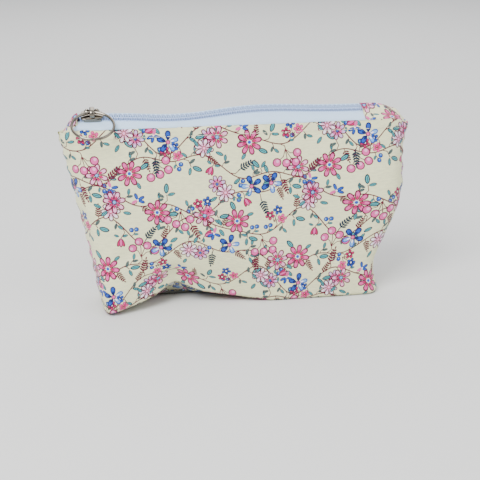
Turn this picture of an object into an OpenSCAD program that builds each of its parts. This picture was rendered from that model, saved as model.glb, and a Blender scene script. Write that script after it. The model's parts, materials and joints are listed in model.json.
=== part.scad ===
// Small lined cotton pouch with a boxed base and a nylon coil zip.
// The pouch stands on the XY plane, its front faces -Y and the zip runs along X.
// The slider is drawn at the left end, with the zip closed.

/* [Pouch] */
// Width across the top, along the zip
top_w = 190; // [180:1:220]
// Width of the boxed base
base_w = 152; // [130:1:165]
// Depth of the boxed base, front to back
base_d = 38; // [34:1:46]
// Height of the zip chain above the table
zip_h = 101; // [90:1:125]
// How far the front and back bulge beyond the straight wall
bulge = 2; // [0:0.5:5]

/* [Fabric] */
// Thickness of the printed cotton
cotton_t = 0.6; // [0.4:0.1:0.7]
// Thickness of the interfacing behind it
interfacing_t = 0.4; // [0.2:0.1:0.4]
// Thickness of the lining
lining_t = 0.5; // [0.3:0.1:0.6]

/* [Zip] */
// Slope of the front tape below level, in degrees
zip_tilt = 20; // [10:1:25]
// Width of the closed coil chain
chain_w = 5.8; // [5.4:0.1:6]
// Thickness of the coil
coil_t = 2.3; // [2:0.1:2.4]
// Width of one tape, from the middle of the chain to its hidden edge
tape_w = 15; // [13:0.5:18]
// Thickness of the tape
tape_t = 0.6; // [0.4:0.1:0.6]
// Where the closed slider sits, measured from the middle of the pouch
slider_closed_x = -76; // [-78:1:-70]
// Where the right end tab starts, measured from the middle of the pouch
right_tab_x = 67.7; // [60:0.1:72]
// Length of the right end tab
right_tab_l = 22; // [15:1:24]
// Length of the left end tab
left_tab_l = 9; // [6:1:10]

/* [Slider and ring] */
// Length of the slider body
slider_l = 11.5; // [10:0.5:12]
// Width of the slider body at its nose
slider_w = 8.2; // [8:0.1:9]
// Thickness of the two slider plates
plate_t = 0.9; // [0.7:0.1:1]
// Outside diameter of the pull ring
ring_d = 23; // [20:0.5:24]
// Thickness of the ring's wire
wire_d = 1.5; // [1.2:0.1:1.6]
// Angle of the resting ring below the front tape, in degrees
ring_rest = 5; // [4:0.5:6]

/* [Thread] */
// Thickness of the sewing thread
thread_d = 0.35; // [0.3:0.05:0.4]
// Length of one stitch
stitch_l = 2.3; // [2:0.1:3]
// Gap between one stitch and the next
stitch_gap = 0.8; // [0.5:0.1:1.2]

/* [Hidden] */
$fn = 32;

cream = [0.85, 0.83, 0.71];
white = [0.87, 0.91, 0.98];
thread_cream = [0.88, 0.85, 0.76];
nickel = [0.72, 0.71, 0.69];

// The middle of the chain stands a little behind the middle of the base.
zip_y = 1.5;
// The tape leaves the fabric at tape_show from the middle of the chain, and turns down there.
tape_show = 10.4;
// The back tape turns down just behind the slider.
back_bend = slider_w / 2 + 0.5;
// The wall stands at this slope just below the mouth.
wall_slope = 78;
// The coils leave room between them for the slider's post.
post_w = 1.2;
coil_gap = post_w / 2 + 0.3;
coil_end_x = right_tab_x;
coil_start_x = slider_closed_x - slider_l / 2 - 1;
// The hidden edge of the tape is sewn in over the straight part of the mouth only.
tape_sewn_x = 66;

// The layers of the wall, measured inward from the outside of the printed cotton.
interfacing_in = cotton_t;
tape_room = tape_t + 0.6;
lining_in = interfacing_in + interfacing_t + tape_room;
seam_in = lining_in - tape_room / 2;

// The top edge of the wall stands just above the tape where the tape turns down,
// and the lining stops just below it.
mouth_z = zip_h - tape_show * sin(zip_tilt);
wall_top = mouth_z + 0.1;
lining_top = mouth_z - tape_t / 2 - 0.5;
// Below this height the walls stand straight up from the base.
base_rise = lining_in + lining_t + 0.2;
mouth_half_d = tape_show * cos(zip_tilt) - zip_y + tape_t / 2 + cotton_t + interfacing_t + 0.25;
columns = 28;
rows = 9;
base_squareness = 40;
mouth_squareness = 12;

// Slider heights, measured from the plane of the tape.
plate_in = coil_t / 2 + 0.35;
plate_top = plate_in + plate_t;
window_h = wire_d + 1.1;
ring_axis_h = plate_top + window_h / 2;
bridge_t = 1.1;
bridge_l = 2.6;
bridge_w = 7;
ring_r = (ring_d - wire_d) / 2;
ring_joint = 1.5;

// ---- Wall surface ----

// The shape of the wall at height z, moved inward by inset.
function height_share(z) = max(0, z - base_rise) / (wall_top - base_rise);
function half_w(z, inset) = (base_w + (top_w - base_w) * height_share(z)) / 2 - inset;
function half_d(z, inset) =
    let (v = height_share(z))
    base_d / 2 + (mouth_half_d - base_d / 2) * pow(v, 1.5) + bulge * sin(180 * v) - inset;
function squareness(z) =
    base_squareness + (mouth_squareness - base_squareness) * sqrt(height_share(z));
function across(i) = sin(90 * (2 * i / columns - 1));

// A point of the front wall: column i from left to right, at height z.
function wall_xy(i, z, inset) =
    [half_w(z, inset) * across(i), -half_d(z, inset) * (1 - pow(abs(across(i)), squareness(z)))];
function wall_row(z, inset) = [for (i = [0:columns]) concat(wall_xy(i, z, inset), [z])];

module wall_sheet(inset, thickness, top) {
    foot = inset + thickness;
    heights = concat([foot], [for (j = [0:rows - 1]) base_rise + (top - base_rise) * j / (rows - 1)]);
    outside = [for (z = heights) each wall_row(z, inset)];
    inside = [for (z = heights) each wall_row(z, inset + thickness)];
    n = columns + 1;
    k = n * (rows + 1);
    last = n * rows;
    polyhedron(
        points = concat(outside, inside),
        faces = concat(
            [for (j = [0:rows - 1], i = [0:columns - 1]) let (a = j * n + i) [a, a + n, a + n + 1]],
            [for (j = [0:rows - 1], i = [0:columns - 1]) let (a = j * n + i) [a, a + n + 1, a + 1]],
            [for (j = [0:rows - 1], i = [0:columns - 1])
                let (a = j * n + i + k) [a, a + 1, a + n + 1]],
            [for (j = [0:rows - 1], i = [0:columns - 1])
                let (a = j * n + i + k) [a, a + n + 1, a + n]],
            [for (i = [0:columns - 1]) [i, i + 1, i + 1 + k, i + k]],
            [for (i = [0:columns - 1]) let (a = last + i) [a + 1, a, a + k, a + 1 + k]],
            [for (j = [0:rows - 1]) let (a = j * n) [a + n, a, a + k, a + n + k]],
            [for (j = [0:rows - 1]) let (a = j * n + columns) [a, a + n, a + n + k, a + k]]));
}

// One cut of fabric: the front wall and the front half of the base.
module panel(inset, thickness, top = wall_top) {
    wall_sheet(inset, thickness, top);
    translate([0, 0, inset])
        linear_extrude(thickness)
            polygon([for (i = [0:columns]) wall_xy(i, 0, inset)]);
}

module to_back() {
    mirror([0, 1, 0]) children();
}

// ---- Zip cross-section ----

// A point of the tape's section: s forward from the middle of the chain, w above the tape.
function zip_point(s, w) =
    [zip_y - s * cos(zip_tilt) - w * sin(zip_tilt), zip_h - s * sin(zip_tilt) + w * cos(zip_tilt)];

function unit(v) = v / norm(v);
function square_to(v) = [-v[1], v[0]];
function edge_way(path, i) = unit(path[i + 1] - path[i]);
// Point i of a path moved w to its upper side; up is 1 for a path toward the back, -1 toward the front.
function moved(path, i, up, w) =
    let (before = square_to(edge_way(path, max(i - 1, 0))),
         after = square_to(edge_way(path, min(i, len(path) - 2))),
         middle = unit(before + after))
    path[i] + up * w / (middle * after) * middle;

// A strip of even thickness along X that follows a path in the YZ plane.
module path_strip(x_from, x_to, path, up, w_low, w_high) {
    last = len(path) - 1;
    translate([x_from, 0, 0])
        rotate([90, 0, 90])
            linear_extrude(x_to - x_from)
                polygon(concat([for (i = [0:last]) moved(path, i, up, w_high)],
                               [for (i = [last:-1:0]) moved(path, i, up, w_low)]));
}

module flat_strip(x_from, x_to, s_from, s_to, w_low, w_high) {
    translate([x_from, 0, 0])
        rotate([90, 0, 90])
            linear_extrude(x_to - x_from)
                polygon([zip_point(s_from, w_high), zip_point(s_to, w_high),
                         zip_point(s_to, w_low), zip_point(s_from, w_low)]);
}

// The frame of the zip: local X along the chain, local Z square to the tape.
module zip_frame(x) {
    translate([x, zip_y, zip_h]) rotate([zip_tilt, 0, 0]) children();
}

// ---- Fabric ----

module outer_front() {
    color(cream) panel(0, cotton_t);
}

module outer_back() {
    color(cream) to_back() panel(0, cotton_t);
}

module interfacing_front() {
    color(white) panel(interfacing_in, interfacing_t);
}

module interfacing_back() {
    color(white) to_back() panel(interfacing_in, interfacing_t);
}

module lining_front() {
    color(cream) panel(lining_in, lining_t, lining_top);
}

module lining_back() {
    color(cream) to_back() panel(lining_in, lining_t, lining_top);
}

// ---- Zip ----

// The tape is full width where it is sewn in, and narrower beyond, under the tabs.
module zip_tape(path, up, s_edge) {
    half = tape_t / 2;
    s_in = -up * chain_w / 2;
    color(white) {
        path_strip(-tape_sewn_x, tape_sewn_x, path, up, -half, half);
        flat_strip(tape_sewn_x, right_tab_x + right_tab_l - 2, s_in, s_edge, -half, half);
        flat_strip(coil_start_x - left_tab_l, -tape_sewn_x, s_in, s_edge, -half, half);
    }
}

module zip_tape_front() {
    bend = zip_point(tape_show, 0);
    hidden = tape_w - tape_show;
    zip_tape([zip_point(chain_w / 2, 0), bend, bend - hidden * [cos(wall_slope), sin(wall_slope)]],
             -1, tape_show - 3.8);
}

module zip_tape_back() {
    mouth = [mouth_half_d - cotton_t - interfacing_t - tape_t / 2 - 0.3, mouth_z];
    hidden = tape_w - tape_show;
    zip_tape([zip_point(-chain_w / 2, 0), zip_point(-back_bend, 0), mouth,
              mouth + hidden * [cos(wall_slope), -sin(wall_slope)]],
             1, -back_bend);
}

module coil(side) {
    flat_strip(coil_start_x, coil_end_x, side * coil_gap, side * chain_w / 2, -coil_t / 2, coil_t / 2);
}

module zip_coil_front() {
    color(white) coil(1);
}

module zip_coil_back() {
    color(white) coil(-1);
}

// A row of stitches along X, from the first to the last place.
module stitch_row(x_from, x_to, d) {
    for (x = [x_from : stitch_l + stitch_gap : x_to - stitch_l])
        translate([x, 0, 0]) rotate([0, 90, 0]) cylinder(d = d, h = stitch_l, $fn = 16);
}

module coil_stitching(side) {
    fine_thread = 0.2;
    zip_frame(0)
        translate([0, -side * chain_w * 0.36, coil_t / 2 + fine_thread / 2])
            stitch_row(coil_start_x + 1, coil_end_x - 1, fine_thread);
}

module coil_stitching_front() {
    color(white) coil_stitching(1);
}

module coil_stitching_back() {
    color(white) coil_stitching(-1);
}

// A fabric tab folded over the end of the zip, with the tape between its two layers.
module end_tab(x_edge, length, away) {
    x_fold = x_edge + away * length;
    inner = tape_t / 2 + 0.05;
    fold = x_fold - away * cotton_t;
    reach = tape_show - 3.8;
    for (face = [-1, 1])
        flat_strip(min(x_edge, x_fold), max(x_edge, x_fold), -back_bend, reach,
                   face > 0 ? inner : -inner - cotton_t, face > 0 ? inner + cotton_t : -inner);
    flat_strip(min(fold, x_fold), max(fold, x_fold), -back_bend, reach,
               -inner - cotton_t, inner + cotton_t);
}

module zip_end_tab_left() {
    color(cream) end_tab(coil_start_x - 1, left_tab_l, -1);
}

module zip_end_tab_right() {
    color(cream) end_tab(right_tab_x + 0.4, right_tab_l, 1);
}

// Stitches across a tab, close to its inner edge.
module tab_stitching(x) {
    zip_frame(x)
        translate([0, 0, tape_t / 2 + 0.05 + cotton_t + thread_d / 2])
            rotate([0, 0, 90])
                stitch_row(-tape_show + 4.5, back_bend, thread_d);
}

module tab_stitching_left() {
    color(thread_cream) tab_stitching(coil_start_x - 4);
}

module tab_stitching_right() {
    color(thread_cream) tab_stitching(right_tab_x + 3.5);
}

// ---- Sewing ----

// Edge stitches on the outside of the front wall, a little below its folded top edge.
module topstitch_row() {
    z = wall_top - 4;
    translate([0, -half_d(z, 0) - thread_d / 2, z]) stitch_row(-74, 74, thread_d);
}

module topstitch_front() {
    color(thread_cream) topstitch_row();
}

module topstitch_back() {
    color(thread_cream) to_back() topstitch_row();
}

// The side seams run between the cotton and the lining, down the middle of each side.
module side_seam(side) {
    pitch = stitch_l + stitch_gap;
    z_from = lining_in + lining_t + 1;
    lean = atan((top_w - base_w) / 2 / wall_top);
    for (z = [z_from : pitch : wall_top - pitch])
        translate([side * (half_w(z, 0) - seam_in), 0, z])
            rotate([0, side * lean, 0])
                cylinder(d = thread_d, h = stitch_l, $fn = 16);
}

module side_seam_left() {
    color(thread_cream) side_seam(-1);
}

module side_seam_right() {
    color(thread_cream) side_seam(1);
}

// The corner seams box the base: each crosses the end of the base from front to back.
module corner_seam(side) {
    translate([side * (base_w / 2 - lining_in - 2.5), 0, seam_in])
        rotate([0, 0, 90])
            stitch_row(-base_d / 2 + 7, base_d / 2 - 7, thread_d);
}

module corner_seam_left() {
    color(thread_cream) corner_seam(-1);
}

module corner_seam_right() {
    color(thread_cream) corner_seam(1);
}

module bottom_seam() {
    reach = base_w / 2 - 6;
    color(thread_cream) translate([0, 0, seam_in]) stitch_row(-reach, reach, thread_d);
}

// ---- Slider ----

// A plate outline with round corners, wide at the nose (-X) and narrower at the tail.
module plate_outline() {
    r = 1.2;
    nose = slider_w / 2 - r;
    tail = slider_w / 2 - r - 0.5;
    end = slider_l / 2 - r;
    corners = [[end, tail, 0], [-end, nose, 90], [-end, -nose, 180], [end, -tail, 270]];
    polygon([for (c = corners, a = [0:15:90]) [c[0], c[1]] + r * [cos(c[2] + a), sin(c[2] + a)]]);
}

module slider_body() {
    rail_w = 0.6;
    rail_gap = tape_t / 2 + 0.25;
    rail_in = chain_w / 2 + 0.15;
    post_l = 2.4;
    color(nickel)
        zip_frame(slider_closed_x) {
            for (face = [0, 1])
                mirror([0, 0, face]) {
                    translate([0, 0, plate_in]) linear_extrude(plate_t) plate_outline();
                    for (side = [0, 1])
                        mirror([0, side, 0])
                            translate([-slider_l / 2 + 1.2, rail_in, rail_gap])
                                cube([slider_l - 2.4, rail_w, plate_in - rail_gap]);
                }
            translate([-slider_l / 2 + 1, -post_w / 2, -plate_in]) cube([post_l, post_w, 2 * plate_in]);
        }
}

// The arch that holds the ring: it crosses the slider from front to back.
module slider_bridge() {
    outer_r = window_h / 2 + bridge_t;
    leg = bridge_w / 2 - outer_r;
    color(nickel)
        zip_frame(slider_closed_x)
            translate([-bridge_l / 2, 0, plate_top])
                rotate([90, 0, 90])
                    linear_extrude(bridge_l)
                        difference() {
                            union() {
                                translate([-bridge_w / 2, 0]) square([bridge_w, window_h / 2]);
                                for (side = [-1, 1])
                                    translate([side * leg, window_h / 2]) circle(outer_r);
                                translate([-leg, 0]) square([2 * leg, window_h + bridge_t]);
                            }
                            translate([-leg, 0]) square([2 * leg, window_h]);
                            for (side = [-1, 1])
                                translate([side * leg, window_h / 2]) circle(window_h / 2);
                            translate([-bridge_w / 2 + bridge_t, 0])
                                square([bridge_w - 2 * bridge_t, window_h / 2]);
                            translate([-bridge_w, -bridge_w]) square([2 * bridge_w, bridge_w]);
                        }
}

// A ring of round wire whose two ends butt together at the far side from the slider.
module pull_ring() {
    color(nickel)
        zip_frame(slider_closed_x)
            translate([0, 0, ring_axis_h])
                rotate([ring_rest, 0, 0])
                    translate([0, -ring_r, 0])
                        rotate([0, 0, -90 + ring_joint / 2])
                            rotate_extrude(angle = 360 - ring_joint, $fn = 96)
                                translate([ring_r, 0]) circle(d = wire_d);
}

outer_front();
outer_back();
interfacing_front();
interfacing_back();
lining_front();
lining_back();
zip_tape_front();
zip_tape_back();
zip_coil_front();
zip_coil_back();
coil_stitching_front();
coil_stitching_back();
zip_end_tab_left();
zip_end_tab_right();
tab_stitching_left();
tab_stitching_right();
topstitch_front();
topstitch_back();
side_seam_left();
side_seam_right();
corner_seam_left();
corner_seam_right();
bottom_seam();
slider_body();
slider_bridge();
pull_ring();
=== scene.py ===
"""A small lined cotton pouch with a boxed base and a nylon coil zip, for Blender 4.5.

Everything is in the CAD frame: +Z up, the front faces -Y and the zip runs along X. Shapes are worked
out in millimetres and become metres when a mesh is made. A cotton panel is drawn flat first, as it
is cut, with its print, and is then carried onto the standing pouch.
"""

import json
import math
from typing import NamedTuple

import bpy
import numpy as np
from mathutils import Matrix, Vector
from mathutils.geometry import delaunay_2d_cdt


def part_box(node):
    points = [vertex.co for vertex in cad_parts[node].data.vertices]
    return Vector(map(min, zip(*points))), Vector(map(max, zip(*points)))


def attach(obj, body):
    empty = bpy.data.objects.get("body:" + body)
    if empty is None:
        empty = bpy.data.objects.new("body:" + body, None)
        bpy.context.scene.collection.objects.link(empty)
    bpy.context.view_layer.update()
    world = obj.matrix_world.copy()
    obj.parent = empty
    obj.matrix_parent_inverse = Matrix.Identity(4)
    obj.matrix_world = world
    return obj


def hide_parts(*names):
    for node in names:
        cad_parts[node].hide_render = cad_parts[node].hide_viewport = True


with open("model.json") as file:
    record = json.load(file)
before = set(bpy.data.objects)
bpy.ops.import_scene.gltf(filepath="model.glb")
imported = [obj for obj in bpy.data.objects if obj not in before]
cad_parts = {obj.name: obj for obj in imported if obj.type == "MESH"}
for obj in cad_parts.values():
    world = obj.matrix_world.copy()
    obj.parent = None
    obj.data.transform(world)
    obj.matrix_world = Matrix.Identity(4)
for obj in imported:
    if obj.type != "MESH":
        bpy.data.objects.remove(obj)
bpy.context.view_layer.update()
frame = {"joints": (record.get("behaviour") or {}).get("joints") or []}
MM = 0.001
UP = np.array([0.0, 0.0, 1.0])


# ---- Sizes, in millimetres ----

def box_mm(node):
    """The lowest and highest corner of a CAD node, in millimetres."""
    return [np.array(corner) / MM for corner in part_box(node)]


PANEL_HALF = box_mm("outer_front")[1][0]
MOUTH_Z = box_mm("outer_front")[1][2]
# The base is boxed: what each corner takes from the width becomes half the depth.
BASE_HALF = 0.8 * PANEL_HALF
BASE_DEPTH = PANEL_HALF - BASE_HALF
MOUTH_DEPTH = 9.8
BULGE = 2.0
BASE_SQUARENESS = 40
MOUTH_SQUARENESS = 12
BASE_ROUND = 2.4

COIL_LOW = np.minimum(box_mm("zip_coil_front")[0], box_mm("zip_coil_back")[0])
COIL_HIGH = np.maximum(box_mm("zip_coil_front")[1], box_mm("zip_coil_back")[1])
CHAIN_Y, CHAIN_Z = ((COIL_LOW + COIL_HIGH) / 2)[1:]
ZIP_TILT = math.radians(20)
# The way that the zip's upper face looks.
ZIP_UP = (0.0, -math.sin(ZIP_TILT), math.cos(ZIP_TILT))
TAPE_SHOW = 10.4
TAPE_HIDDEN = 4.6
BACK_BEND = 4.6
SLIDER_LOW, SLIDER_HIGH = box_mm("slider_body")
SLIDER_X = (SLIDER_LOW[0] + SLIDER_HIGH[0]) / 2
SLIDER_LENGTH = SLIDER_HIGH[0] - SLIDER_LOW[0]
RING_PIVOT = np.array(next(j for j in frame["joints"] if j["name"] == "ring_swing")["pos_m"]) / MM
RIGHT_TAB = [c[0] for c in box_mm("zip_end_tab_right")]
LEFT_TAB = [c[0] for c in box_mm("zip_end_tab_left")]

# The folded top edge, and the edge stitches below it.
FOLD_RADIUS = 0.6
FOLD_HIDDEN = 4.5
STITCH_DROP = 4.0
STITCH_LENGTH = 2.3
STITCH_PITCH = 3.1
SEAM_PITCH = 2.4
# Half the thickness of the sewing thread, and of the finer thread on the coils.
THREAD = 0.16
COIL_THREAD = 0.13


# ---- Colours ----

def srgb(red, green, blue):
    """A display colour from 0 to 255 as the linear colour that shaders take."""
    share = np.array([red, green, blue]) / 255
    linear = np.where(share <= 0.04045, share / 12.92, ((share + 0.055) / 1.055) ** 2.4)
    return (*linear.tolist(), 1.0)


INK = {name: srgb(*shade) for name, shade in {
    "cloth": (232, 232, 188),
    "vine": (94, 30, 46),
    "maroon": (96, 14, 46),
    "rose": (190, 32, 98),
    "pink": (222, 92, 158),
    "blush": (238, 172, 208),
    "white": (242, 234, 242),
    "lilac": (204, 180, 222),
    "navy": (16, 26, 88),
    "blue": (34, 80, 178),
    "sky": (118, 174, 232),
    "teal": (78, 162, 168),
    "slate": (24, 42, 60),
    "sage": (96, 116, 106),
}.items()}


# ---- The printed pattern: flat shapes, in millimetres ----

def directions(path):
    """The unit vector along a run of points at each of them."""
    way = np.gradient(np.asarray(path, float), axis=0)
    return way / np.linalg.norm(way, axis=1)[:, None]


def lengths_along(points):
    """The distance along a run of points to each of them."""
    return np.concatenate([[0], np.cumsum(np.linalg.norm(np.diff(points, axis=0), axis=1))])


def placed(points, x, y, angle=0.0, size=1.0):
    """Points turned by angle, scaled by size and moved to x, y."""
    turn = np.array([[math.cos(angle), math.sin(angle)], [-math.sin(angle), math.cos(angle)]])
    return points * size @ turn + (x, y)


def blade(length, width, shoulder=0.0, sharpness=1.0, steps=7):
    """A petal or leaf from the origin along +X. Shoulder moves its widest place outward."""
    turn = np.linspace(0, math.pi, steps)
    along = length * (1 - np.cos(turn)) / 2
    half = width / 2 * np.sin(turn) ** sharpness * (1 - shoulder * (1 + np.cos(turn)) / 2)
    return np.vstack([np.column_stack([along, -half]), np.column_stack([along, half])[-2:0:-1]])


def disc(radius, steps=10):
    """A round spot."""
    turn = np.linspace(0, 2 * math.pi, steps, endpoint=False)
    return radius * np.column_stack([np.cos(turn), np.sin(turn)])


def line(points, width):
    """A thin strip along a run of points."""
    way = directions(points)
    side = np.column_stack([-way[:, 1], way[:, 0]]) * width / 2
    return np.vstack([points - side, (points + side)[::-1]])


def petals(count, length, width, colours, hub=0.6, shoulder=0.5):
    """A ring of petals, each drawn as an outline, a face and a streak at its foot."""
    outline, face, streak = colours
    shapes = []
    for k in range(count):
        turn = 2 * math.pi * k / count
        foot = hub * np.array([math.cos(turn), math.sin(turn)])
        layers = [
            (blade(length, width, shoulder), outline, 0.0),
            (blade(length * 0.76, width * 0.6, shoulder), face, length * 0.11),
            (blade(length * 0.45, width * 0.3, sharpness=1.3, steps=5), streak, length * 0.05),
        ]
        for points, colour, lift in layers:
            shapes.append((placed(points + (lift, 0), *foot, turn), colour))
    return shapes


def heart(radius, rim, colour):
    """The middle of a flower."""
    return [(disc(radius), rim), (disc(radius * 0.68), colour)]


def leaf(length=5.0, width=2.5, colour="teal"):
    """A leaf with a dark edge and a dark vein."""
    return [
        (blade(length, width, sharpness=1.2), "slate"),
        (placed(blade(length * 0.74, width * 0.58, sharpness=1.2), length * 0.12, 0), colour),
        (line([(length * 0.2, 0), (length * 0.72, 0)], 0.26), "slate"),
    ]


def at(shapes, x, y, angle=0.0, size=1.0):
    """Coloured shapes, turned, scaled and moved together."""
    return [(placed(points, x, y, angle, size), colour) for points, colour in shapes]


def pink_flower():
    """An open flower of eight pink petals."""
    greens = at(leaf(), 4.2, 3.2, 0.9) + at(leaf(3.6, 1.8), 4.4, -3.0, -0.8)
    return greens + petals(8, 5.2, 3.5, ("maroon", "pink", "rose"), 1.0) + heart(1.25, "white", "blue")


def rose_flower():
    """An open flower of seven pale petals."""
    greens = at(leaf(4.0, 1.9), 4.0, -3.4, -0.9)
    return greens + petals(7, 4.6, 3.5, ("maroon", "blush", "rose"), 0.9) + heart(1.1, "navy", "sky")


def daisies():
    """Two pale daisies side by side."""
    greens = at(leaf(4.0, 1.8), -1.5, 4.2, 2.0) + at(leaf(4.0, 1.8), 3.6, -4.4, -1.0)
    first = petals(8, 3.9, 3.0, ("maroon", "white", "blush"), 0.8) + heart(1.0, "rose", "blush")
    second = petals(8, 3.6, 2.8, ("maroon", "lilac", "pink"), 0.8) + heart(0.9, "maroon", "blue")
    return greens + at(second, 4.6, 3.4, 0.2) + first


def blue_flower():
    """A flower of three dark blue and two pale blue petals."""
    dark = petals(5, 4.6, 3.6, ("navy", "blue", "navy"), 0.9)
    pale = petals(5, 4.2, 3.2, ("blue", "sky", "white"), 0.9)
    greens = at(leaf(4.2, 2.0), 3.8, 3.6, 0.8)
    return greens + dark[:9] + pale[9:] + heart(1.15, "maroon", "pink")


def small_flower(outline, face, middle):
    """A five-petalled flower of 5 mm."""
    return petals(5, 2.1, 1.9, (outline, face, outline), 0.4, 0.2) + [(disc(0.45, 6), middle)]


def posy():
    """Three small flowers on one stalk."""
    kinds = [("maroon", "rose", "white"), ("navy", "blue", "white"), ("rose", "pink", "maroon")]
    places = [(0.5, 3.0), (4.2, 0.2), (0.8, -3.2)]
    shapes = []
    for (x, y), kind in zip(places, kinds):
        shapes.append((line([(-2.0, 0), (x * 0.4, y * 0.5), (x, y)], 0.35), "vine"))
        shapes += at(small_flower(*kind), x, y, x + y)
    return shapes


def berry():
    """One pink berry with a pale spot."""
    return [(disc(2.2), "maroon"), (disc(1.7), "pink"), (placed(disc(0.8, 8), -0.4, 0.5), "blush")]


def berries():
    """Four berries on forked stalks."""
    shapes = []
    for k, turn in enumerate((-1.15, -0.4, 0.35, 1.1)):
        reach = 6.6 - 1.4 * (k % 2)
        x, y = reach * math.cos(turn), reach * math.sin(turn)
        shapes.append((line([(-1.5, 0), (x * 0.5, y * 0.35), (x, y)], 0.38), "vine"))
        shapes += at(berry(), x, y)
    return shapes


def fern(colour):
    """A frond of five pairs of leaflets."""
    shapes = [(line([(-1.0, 0), (3.0, 0.3), (7.2, 0)], 0.42), colour)]
    for k in range(5):
        for side in (-1, 1):
            leaflet = blade(2.5 - 0.24 * k, 0.95, steps=5)
            shapes.append((placed(leaflet, 0.6 + 1.3 * k, 0.2, side * 0.95), colour))
    return shapes + [(placed(blade(1.6, 0.8, steps=5), 6.9, 0.05), colour)]


def bud():
    """A half-open bud of three petals."""
    shapes = []
    for turn, face in ((-0.55, "rose"), (0.55, "rose"), (0.0, "pink")):
        shapes.append((placed(blade(4.4, 1.9, 0.1), 0, 0, turn * 0.7), "maroon"))
        shapes.append((placed(blade(3.6, 1.3, 0.1), 0.3, 0, turn * 0.7), face))
    return shapes + at(leaf(2.8, 1.4), -0.8, 0.8, 1.9) + at(leaf(2.6, 1.3), -0.8, -0.8, -1.9)


def violet():
    """A small flower of three blue petals and a pink one."""
    shapes = []
    for turn in (-1.2, -0.35, 1.1):
        shapes.append((placed(blade(3.6, 1.9, 0.3), 0, 0, turn), "navy"))
        face = placed(blade(2.8, 1.2, 0.3), 0.3 * math.cos(turn), 0.3 * math.sin(turn), turn)
        shapes.append((face, "blue"))
    return shapes + [(placed(blade(3.2, 1.6, 0.2), 0, 0, 2.8), "pink"), (disc(0.5, 6), "white")]


def leaf_pair():
    """Two teal leaves and a small grey one."""
    small = at(leaf(3.4, 1.5, "sage"), -1.8, 0.2, 1.7)
    return at(leaf(), 0.2, 0.5, 0.6) + at(leaf(3.8, 1.7), 0, -0.4, -0.7) + small


def leafy_twig():
    """A twig of two leaves."""
    stalk = [(line([(0, 0), (1.4, 0.3), (3.4, 0)], 0.36), "vine")]
    return stalk + at(leaf(3.6, 1.7), 3.2, 0, 0.5) + at(leaf(3.2, 1.5, "sage"), 2.0, 0, -0.7)


def fern_twig():
    """A twig that is a small frond."""
    return at(fern("vine"), 0.8, 0, 0.15, 0.9)


def berry_twig():
    """A twig of two blue berries and a leaf."""
    stalk = [(line([(0, 0), (1.8, -0.3), (4.4, 0)], 0.36), "vine")]
    small = [(disc(1.3), "navy"), (disc(0.95, 8), "blue"), (placed(disc(0.4, 6), -0.2, 0.3), "sky")]
    return stalk + at(small, 4.6, 0) + at(small, 2.8, 1.9) + at(leaf(2.6, 1.3), 1.6, -0.3, -0.9)


# Each vine carries the sprays in turn, on alternate sides, and the twigs between them.
TWIGS = [leafy_twig, fern_twig, leafy_twig, berry_twig]
SPRAYS = [pink_flower, leaf_pair, berries, posy, leaf_pair, daisies, bud, lambda: fern("slate"),
          blue_flower, leaf_pair, lambda: fern("maroon"), rose_flower, violet]
TILE_W = 104.0
TILE_H = 80.0
TILE_SHIFT = 35.0
VINES = 5
SPRAY_SIZE = 1.1
VINE_WIDTH, BRANCH_WIDTH = 0.6, 0.45
# How long a branch is and at what angle it leaves its vine, and how much these vary.
BRANCH_LENGTH, LENGTH_CHANGE = 4.6, 1.4
BRANCH_ANGLE, ANGLE_CHANGE = 1.05, 0.25
# Tiles are looked for this far beyond the cloth, because their shapes overhang them.
OVERHANG = 15


def vine_y(vine, x):
    """The height of a vine in its tile. Its waves repeat with the tile."""
    phase = 2 * math.pi * x / TILE_W
    wave = 6.5 * np.sin(phase * (1 + vine % 2) + 1.7 * vine) + 2.8 * np.sin(3 * phase + 0.9 * vine)
    return TILE_H / VINES * (vine + 0.5) + wave


def tile_shapes():
    """One repeat of the print: the vines, then the branches and the sprays that they carry."""
    stems, sprays = [], []
    for vine in range(VINES):
        x = np.linspace(0, TILE_W, 53)
        stems.append((line(np.column_stack([x, vine_y(vine, x)]), VINE_WIDTH), "vine"))
        for k in range(len(SPRAYS)):
            foot_x = TILE_W * (k + 0.25 * (vine % 2)) / len(SPRAYS)
            side = 1 if k % 2 else -1
            slope = math.atan((vine_y(vine, foot_x + 1) - vine_y(vine, foot_x - 1)) / 2)
            way = slope + side * (BRANCH_ANGLE + ANGLE_CHANGE * math.sin(2.3 * k + vine))
            foot = np.array([foot_x, vine_y(vine, foot_x)])
            reach = BRANCH_LENGTH + LENGTH_CHANGE * math.sin(1.9 * k + 2.1 * vine)
            tip = foot + reach * np.array([math.cos(way), math.sin(way)])
            bend = foot + reach * 0.5 * np.array([math.cos(way - side * 0.5), math.sin(way - side * 0.5)])
            stems.append((line([foot, bend, tip], BRANCH_WIDTH), "vine"))
            spray = SPRAYS[(k + 5 * vine) % len(SPRAYS)]
            sprays += at(spray(), *tip, way + 0.3 * math.sin(k + vine), SPRAY_SIZE)
            # A small twig grows on the other side, halfway to the next spray.
            twig_x = foot_x + 0.5 * TILE_W / len(SPRAYS)
            twig = TWIGS[(k + vine) % len(TWIGS)]()
            stems += at(twig, twig_x, vine_y(vine, twig_x), -side * (1.1 + 0.3 * math.sin(k)))
    return stems + sprays


TILE = tile_shapes()


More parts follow.
